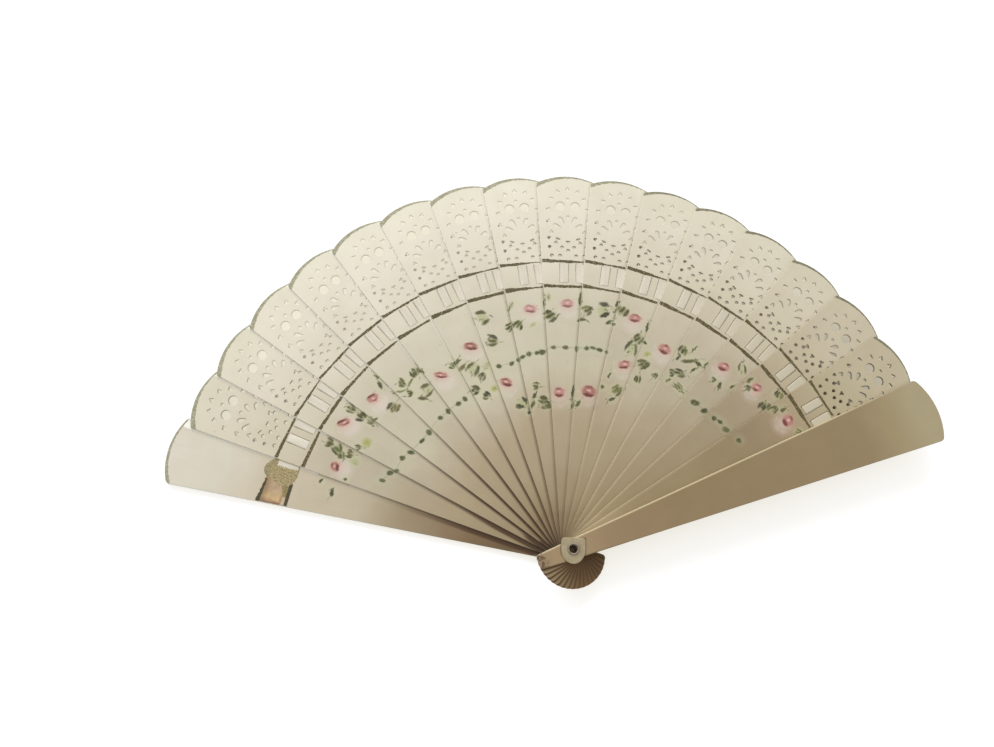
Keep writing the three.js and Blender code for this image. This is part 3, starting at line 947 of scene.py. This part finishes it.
leaves = [
    (-72.6, 116.2, 4.3, 1.9, 84, "dark"), (-70.7, 122.6, 2.8, 1.4, 112, "dark"),
    (-68.8, 111.9, 1.4, 1.4, 162, "moss"), (-64.0, 111.3, 5.8, 3.8, -173, "pale"),
    (-63.7, 118.4, 3.9, 2.8, -144, "dark"), (-62.9, 120.7, 5.9, 3.8, -145, "leaf"),
    (-62.6, 114.7, 3.9, 3.4, -174, "olive"), (-62.3, 125.9, 4.3, 3.9, 175, "moss"),
    (-60.3, 112.5, 3.3, 2.5, 143, "moss"), (-58.3, 109.7, 5.8, 5.4, 100, "lime"),
    (-53.6, 119.3, 4.9, 3.9, 177, "moss"), (-53.4, 125.5, 5.4, 3.0, 177, "moss"),
    (-53.3, 113.9, 4.4, 2.4, -178, "dark"), (-52.4, 112.8, 1.9, 1.0, 145, "moss"),
    (-47.1, 109.4, 5.5, 4.4, 79, "olive"), (-45.2, 121.7, 4.5, 2.0, -162, "dark"),
    (-44.3, 126.1, 3.0, 1.0, 178, "moss"), (-42.5, 112.1, 6.8, 1.0, 119, "sage"),
    (-41.5, 108.3, 3.9, 2.5, 118, "moss"), (-41.3, 115.0, 4.2, 3.3, 154, "sage"),
    (-40.2, 101.9, 5.8, 1.8, 138, "moss"), (-39.4, 112.2, 6.0, 1.2, 71, "sage"),
    (-37.7, 104.1, 5.4, 4.5, 99, "ring"), (-37.0, 114.8, 5.0, 4.0, -169, "moss"),
    (-35.5, 112.7, 3.0, 1.5, 169, "dark"), (-28.3, 106.6, 3.4, 2.6, 142, "moss"),
    (-26.8, 107.3, 3.6, 2.0, 59, "moss"), (-26.2, 90.1, 5.4, 3.5, 108, "moss"),
    (-26.1, 103.4, 5.1, 2.0, 63, "olive"), (-24.2, 85.4, 3.9, 3.5, 137, "moss"),
    (-23.9, 100.2, 7.2, 4.9, 56, "ring"), (-22.6, 94.9, 5.6, 2.5, 55, "moss"),
    (-20.8, 86.6, 4.4, 3.6, 113, "lime"), (-19.8, 98.7, 5.1, 3.0, 52, "pale"),
    (-16.3, 122.8, 6.1, 5.7, 88, "ring"), (-15.9, 109.6, 6.4, 4.7, 119, "sage"),
    (-14.8, 74.1, 4.4, 2.0, 97, "dark"), (-13.3, 75.1, 5.9, 4.6, 147, "ring"),
    (-12.0, 69.7, 2.0, 1.5, 104, "dark"), (-10.6, 114.4, 5.2, 3.0, 62, "moss"),
    (-10.0, 73.6, 4.6, 1.7, 38, "moss"), (-9.8, 123.4, 3.2, 1.0, 23, "dark"),
    (-8.9, 125.2, 4.3, 2.0, 27, "fawn"), (-8.3, 114.2, 4.7, 3.5, 50, "moss"),
    (-8.2, 77.5, 4.6, 1.5, 41, "dark"), (-7.3, 81.9, 3.5, 3.1, 100, "sage"),
    (-5.2, 73.2, 5.9, 5.1, 98, "moss"), (-4.8, 113.2, 4.7, 1.5, 57, "pale"),
    (-4.0, 71.8, 2.9, 3.0, 96, "dark"), (-1.3, 124.2, 5.9, 1.1, 6, "dark"),
    (-0.4, 116.9, 6.7, 4.7, 72, "sage"), (-0.2, 127.0, 4.8, 2.0, 5, "fawn"),
    (5.4, 71.0, 4.1, 1.5, 14, "dark"), (5.5, 78.1, 7.2, 1.5, 9, "dark"), (7.1, 126.3, 8.1, 1.8, 3, "moss"),
    (7.3, 71.9, 4.6, 1.9, 31, "moss"), (7.5, 114.9, 4.5, 2.1, 85, "moss"),
    (8.7, 120.5, 5.8, 4.1, 53, "sage"), (12.5, 121.5, 6.6, 6.4, 80, "ring"),
    (14.4, 116.0, 4.7, 1.5, 48, "dark"), (15.5, 126.4, 3.8, 1.5, 18, "dark"),
    (15.5, 115.2, 2.0, 1.6, 77, "dark"), (15.6, 82.0, 1.7, 1.8, 77, "moss"),
    (16.8, 122.9, 5.9, 4.5, 31, "sage"), (17.1, 88.6, 3.6, 1.0, 17, "dark"),
    (19.8, 77.0, 4.0, 1.5, 53, "dark"), (20.4, 82.0, 6.2, 3.9, 37, "sage"),
    (21.5, 105.4, 9.5, 4.0, 3, "ring"), (22.3, 111.2, 5.8, 4.0, 30, "moss"),
    (23.6, 118.7, 5.4, 1.3, -4, "dark"), (24.3, 110.0, 2.5, 1.6, 111, "dark"),
    (25.8, 99.3, 6.6, 4.1, 51, "sage"), (25.8, 90.9, 4.7, 2.5, -10, "moss"),
    (25.9, 104.7, 4.6, 2.5, 46, "lime"), (30.2, 96.4, 3.7, 2.2, 23, "dark"),
    (33.5, 110.4, 3.7, 1.5, 10, "dark"), (33.7, 115.2, 5.3, 3.9, 1, "sage"),
    (34.2, 97.2, 3.1, 1.2, 19, "sage"), (34.2, 101.5, 3.0, 3.1, 58, "russet"),
    (35.9, 118.6, 4.3, 1.0, 13, "moss"), (36.1, 103.6, 6.5, 3.1, 67, "moss"),
    (36.5, 112.3, 10.2, 2.1, 51, "moss"), (37.6, 97.1, 4.9, 2.6, 92, "sage"),
    (38.7, 109.0, 4.2, 1.2, 19, "dark"), (38.9, 113.1, 3.9, 1.9, 91, "dark"),
    (39.5, 95.7, 2.4, 1.0, 106, "sage"), (40.3, 115.5, 3.7, 1.0, 4, "dark"),
    (44.2, 111.0, 2.8, 2.6, 48, "dark"), (46.2, 110.7, 3.7, 1.9, -11, "dark"),
    (47.6, 125.0, 6.8, 3.0, -31, "ring"), (48.9, 114.5, 3.2, 1.5, 10, "moss"),
    (50.6, 123.3, 4.8, 1.7, 8, "moss"), (51.6, 119.6, 3.7, 2.2, 2, "dark"),
    (57.1, 129.1, 4.8, 3.4, -21, "sage"), (57.3, 119.8, 5.3, 4.4, -21, "moss"),
    (59.2, 122.9, 4.8, 2.2, -9, "moss"), (60.4, 126.3, 4.2, 2.0, 8, "moss"),
    (66.5, 126.4, 3.9, 2.6, 36, "moss"),
]
for spray in leaves:
    leaf(*spray)

festoons = [
    [(-65.8, 95.3, 3.4, 2.0, 165), (-62.9, 93.4, 3.8, 2.4, 156), (-61.5, 91.0, 2.9, 1.7, 154),
     (-57.3, 91.4, 3.3, 2.7, 150), (-54.5, 89.4, 4.3, 2.0, 162), (-49.6, 88.2, 3.9, 2.0, 97),
     (-46.1, 88.3, 3.9, 2.7, -175), (-40.4, 89.2, 2.9, 2.7, 133), (-37.2, 89.2, 3.6, 2.4, -169),
     (-33.2, 89.0, 3.0, 2.8, 85), (-30.6, 89.2, 3.2, 2.5, 164)],
    [(-16.8, 96.3, 3.0, 2.3, 109), (-12.9, 95.8, 3.1, 2.2, 45), (-10.7, 96.8, 2.5, 2.6, 103),
     (-9.3, 97.6, 3.0, 1.8, 71), (-7.4, 98.6, 2.8, 2.5, 79), (-5.0, 98.5, 3.0, 2.0, 82),
     (-3.5, 98.7, 4.0, 3.3, 85), (-0.2, 100.4, 3.0, 2.3, 92), (3.2, 100.3, 3.5, 2.6, 89),
     (6.4, 99.8, 1.8, 4.0, 86), (9.2, 100.3, 2.5, 2.6, 83), (11.0, 101.0, 3.5, 1.6, 97),
     (12.9, 100.5, 4.0, 2.1, 90), (15.0, 99.9, 1.5, 2.1, 77)],
    [(44.3, 95.3, 5.4, 3.4, 64), (47.8, 95.3, 4.1, 3.0, 25), (51.4, 95.7, 2.9, 2.6, 73),
     (53.3, 96.7, 2.9, 2.1, 71), (56.0, 96.4, 4.3, 3.1, 63), (60.7, 98.1, 2.9, 2.8, 74)],
]
for festoon in festoons:
    for turn, distance, length, width, lean in festoon:
        brush(turn, distance + 0.5, length + 7, width + 6, lean, srgb(188, 196, 162),
              0.28 if turn < 40 else 0.16, soft=1)
    for here, there in zip(festoon, festoon[1:]):
        run = (there[0] - here[0]) * here[1] / radian
        lean = 90 - math.degrees(math.atan2(there[1] - here[1], run))
        brush((here[0] + there[0]) / 2, (here[1] + there[1]) / 2, math.hypot(run, there[1] - here[1]) + 1,
              0.9, lean, srgb(110, 112, 70), 0.35, 0.06, 0.8)
    for turn, distance, length, width, lean in festoon:
        dark = Vector(srgb(58, 60, 18)).lerp(Vector(srgb(100, 100, 56)), hand.random())
        brush(turn, distance, length + 0.6, width + 0.6, lean, dark, 0.92, 0, 0.5)
        dab(turn, distance, lean, astray(0.3) * length, astray(0.3) * width, length * 0.5, 0.9,
            astray(60), hand.choice((srgb(34, 34, 6), srgb(140, 142, 100))), 0.6, soft=0.8)


rows, columns, first_row, row_gap = 182, 44, 66, 0.36  # the rows in millimetres from the rivet
next_start = turned(-blade_pitch) @ Vector((0, left_edge(0)))
next_end = turned(-blade_pitch) @ Vector((stick_reach, left_edge(stick_reach)))
slope = (next_end.y - next_start.y) / (next_end.x - next_start.x)
shaken = {}


def seen_row(row):
    """How far along a blade a row lies, and its ends just inside the next blade's edge and its own"""
    along = first_row + row_gap * row
    return along, next_start.y + slope * (along - next_start.x) + 0.08, left_edge(along) - 0.08


def reached(middle, reach, start, gap, last):
    """The rows or columns that a mark may touch"""
    first = max(0, math.floor((middle - reach - start) / gap))
    return range(first, min(last, math.ceil((middle + reach - start) / gap)) + 1)


def shake(blade, row, column):
    """How far the hand strayed at a place on a blade, in millimetres"""
    if (blade, row, column) not in shaken:
        stray = noise.noise_vector(Vector((row * 0.29 + blade * 40, column * 0.27, 3)))
        shaken[blade, row, column] = stray.to_2d() * 0.42
    return shaken[blade, row, column]


for blade in range(17):
    to_blade = turned(-blade_turn(blade))
    coat = {}
    for centre, way, half_length, half_width, colour, cover, bend, soft, point in strokes:
        middle, way = to_blade @ centre, to_blade @ way
        reach = max(half_length, half_width) * 1.2
        if middle.x < 60 or abs(middle.y) > 24:
            continue
        for row in reached(middle.x, reach, first_row, row_gap, rows):
            along, right, left = seen_row(row)
            pitch = (left - right) / columns
            for column in reached(middle.y, reach, right, pitch, columns):
                offset = Vector((along, right + pitch * column)) + shake(blade, row, column) - middle
                ahead = offset.dot(way) / half_length
                aside = (offset.y * way.x - offset.x * way.y) - bend * half_length * (1 - ahead * ahead)
                inward = 1 - math.hypot(ahead, aside / half_width / (1 - point * max(min(ahead, 1), -1)))
                if inward <= 0:
                    continue
                amount = min(inward / soft, 1)
                amount = cover * amount * amount * (3 - 2 * amount)
                under = coat.get((row, column), (0, 0, 0, 0))
                total = amount + under[3] * (1 - amount)
                mixed = [(amount * new + under[3] * (1 - amount) * old) / total
                         for new, old in zip(colour[:3], under)]
                coat[row, column] = (*mixed, total)
    if not coat:
        continue
    shape = bmesh.new()
    paint = shape.verts.layers.float_color.new("paint")
    on_sheet = shape.verts.layers.float_vector.new("on_sheet")
    bmesh.ops.create_grid(shape, x_segments=rows, y_segments=columns, size=0.5)
    for vert in shape.verts:
        row, column = round((vert.co.x + 0.5) * rows), round((vert.co.y + 0.5) * columns)
        along, right, left = seen_row(row)
        across = right + (left - right) * column / columns
        vert[paint] = coat.get((row, column), (0.5, 0.5, 0.5, 0))
        vert[on_sheet] = (along * mm, across * mm, yellowing_and_shade[blade])
        vert.co = on_blade(blade, along, across, stick_face(blade) + 0.02)
    unpainted = [face for face in shape.faces if max(vert[paint][3] for vert in face.verts) < 0.01]
    bmesh.ops.delete(shape, geom=unpainted, context="FACES")
    finish = ("celluloid", painted_stick) if blade else ("guard_celluloid", painted_guard)
    piece = finish_piece(blade_names[blade] + "_painting", shape, *finish, blade_names[blade])
    thicken(piece, "thickness of the paint", 0.01, -1)


# Table, light and view
# A white table under soft light from a window beyond the fan, seen from above and the near left.
# Under the pierced leaf the paper's colour and glow are painted creamier, as its shade, more so at the
# right, where the fan is higher.
table_paper, tree, shader, place = new_material("white table")
shader.inputs["Roughness"].default_value = 0.95
shader.inputs["Specular IOR Level"].default_value = 0.0
turn = round_rivet(place)
rightward = swept(turn, 165, 15)
leaf_end = mapped(turn, math.radians(26), math.radians(162), 0.1973, 0.189)
away = vectors("LENGTH", place, out="Value")
sky = add(tree, "AmbientOcclusion", {"Distance": 0.05}, samples=8).outputs["AO"]
shade = times(step(minus(leaf_end, away), -0.0007, 0.0007), swept(turn, 17, 20), swept(turn, 164, 160),
              step(sky, 0.97, 0.85))
shaded_paper = blend(rightward, (0.3, 0.27, 0.2, 1), (0.28, 0.24, 0.16, 1))
feed(shader, "Base Color", blend(shade, (0.46, 0.5, 0.66, 1), shaded_paper))
rays = add(tree, "LightPath").outputs
seen = larger(rays["Is Camera Ray"], larger(rays["Is Glossy Ray"], rays["Is Transmission Ray"]))
shader.inputs["Emission Color"].default_value = (1, 0.95, 0.78, 1)
shaded_glow = scaled(rightward, -0.16, 0.68)
under_dots = step(away, 0.169, 0.163)
for start, end in ((70, 50), (42, 26)):
    shaded_glow = scaled(times(under_dots, swept(turn, start, end)), -0.18, shaded_glow)
brighter = times(swept(turn, 58, 92), minus(1, under_dots), swept(turn, 157, 138))
shaded_glow = scaled(brighter, 0.15, shaded_glow)
shaded_glow = scaled(swept(turn, 47, 31), -0.16, shaded_glow)
open_glow = 0.7
glow = scaled(shade, minus(shaded_glow, open_glow), open_glow)
feed(shader, "Emission Strength", times(seen, glow))
shape = bmesh.new()
bmesh.ops.create_grid(shape, x_segments=1, y_segments=1, size=3)
table = covered("table", shape, table_paper)

window = bpy.data.lights.new("window", "SUN")
window.energy = 1.96
window.angle = math.radians(42)
window_lamp = put_in_scene("window", window)
window_lamp.location = (-0.15, 0.85, 0.54)
window_lamp.rotation_euler = window_lamp.location.to_track_quat("Z", "Y").to_euler()

world = bpy.data.worlds.new("room")
world.use_nodes = True
world.node_tree.nodes["Background"].inputs["Color"].default_value = (1, 1, 1, 1)
world.node_tree.nodes["Background"].inputs["Strength"].default_value = 0.66
scene.world = world

lens = bpy.data.cameras.new("view")
lens.sensor_width = 36
lens.lens = 39.84
lens.clip_start = 0.01
camera = put_in_scene("view", lens)
camera.location = (-0.081291, -0.060776, 0.524344)
camera.rotation_euler = (math.radians(16.4074), math.radians(-4.7), math.radians(-3.7217))
scene.camera = camera
scene.view_settings.view_transform = "Standard"
